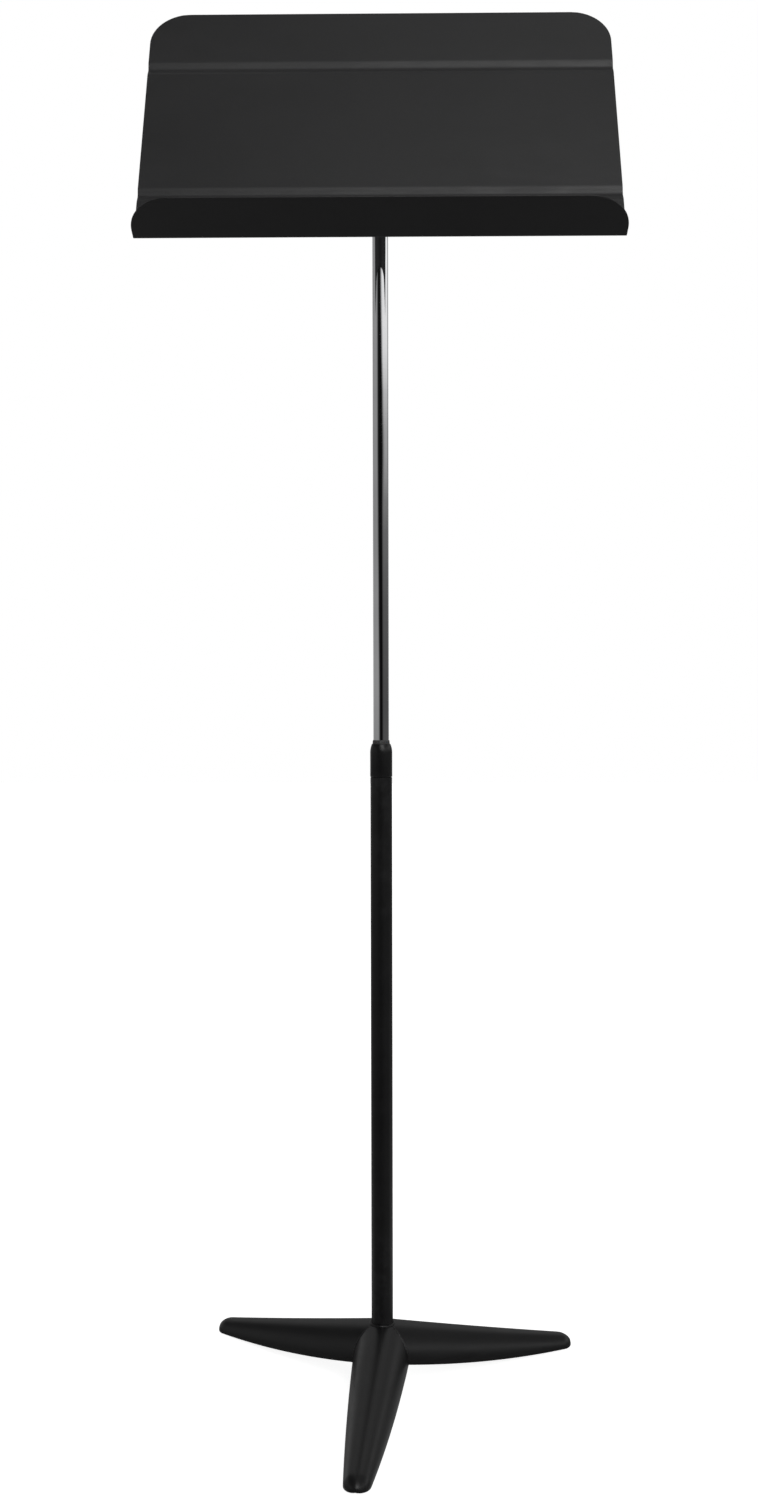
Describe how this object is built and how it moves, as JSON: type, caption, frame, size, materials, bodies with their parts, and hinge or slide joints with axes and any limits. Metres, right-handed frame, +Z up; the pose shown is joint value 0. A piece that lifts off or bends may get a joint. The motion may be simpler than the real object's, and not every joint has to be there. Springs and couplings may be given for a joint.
{
  "type": "music stand",
  "caption": "Free-standing orchestra music stand: wide bent sheet desk with a ledge on a tilt joint, chrome telescoping shaft in a black tube, and a three-legged base.",
  "frame": {"origin": "on the floor, under the middle of the stand's bounding box; the shaft's axis is 46.4 mm behind it", "axes": "+Z up, the desk's width along X, the desk's face towards -Y and leaning back 24.8 degrees"},
  "size_m": [0.508, 0.3797, 1.5106],
  "materials": {
    "desk_black": "black satin powder coat with a fine texture",
    "steel_black": "black satin powder coat",
    "chrome": "polished chrome plate",
    "zinc": "bright zinc plate",
    "spring_steel": "tempered spring steel",
    "nylon_grey": "dark grey moulded nylon",
    "nylon_white": "natural moulded nylon",
    "fibre": "pressed fibre friction washer",
    "rubber": "black moulded rubber"
  },
  "bodies": {
    "base": {"leg_front": "steel_black", "leg_left": "steel_black", "leg_right": "steel_black", "foot_pad_front": "rubber", "foot_pad_left": "rubber", "foot_pad_right": "rubber", "foot_tab_front": "zinc", "foot_tab_left": "zinc", "foot_tab_right": "zinc", "foot_rivet_front": "zinc", "foot_rivet_left": "zinc", "foot_rivet_right": "zinc", "hub_plate": "zinc", "hub_socket": "zinc", "base_washer": "zinc", "base_bolt": "zinc", "tube_plug": "zinc", "outer_tube": "steel_black", "tube_cap": "steel_black", "guide_bushing": "nylon_grey"},
    "clutch": {"clutch_sleeve": "nylon_white", "clutch_cone": "zinc", "clutch_spring": "spring_steel", "clutch_washer": "zinc"},
    "shaft": {"inner_shaft": "chrome", "shaft_end_plug": "zinc", "clutch_bolt": "zinc", "tilt_head": "steel_black", "head_pin": "zinc"},
    "desk": {"desk_panel": "desk_black", "tilt_bracket": "steel_black", "bracket_rivet_1": "steel_black", "bracket_rivet_2": "steel_black", "bracket_rivet_3": "steel_black", "bracket_rivet_4": "steel_black", "friction_washer_left": "fibre", "friction_washer_right": "fibre", "spring_washer": "spring_steel", "plain_washer": "zinc", "lock_nut": "zinc", "pivot_bolt": "zinc"}
  },
  "joints": [
    {"name": "height_slide", "type": "slide", "parent": "base", "child": "clutch", "axis": [0, 0, 1], "range_m": [-0.53, 0.01]},
    {"name": "shaft_swivel", "type": "hinge", "parent": "clutch", "child": "shaft", "pos_m": [0, 0.04638, 0.652], "axis": [0, 0, 1], "continuous": true},
    {"name": "desk_tilt", "type": "hinge", "parent": "shaft", "child": "desk", "pos_m": [0, 0.04638, 1.2955], "axis": [-1, 0, 0], "range_deg": [-24.8, 65.2]}
  ]
}
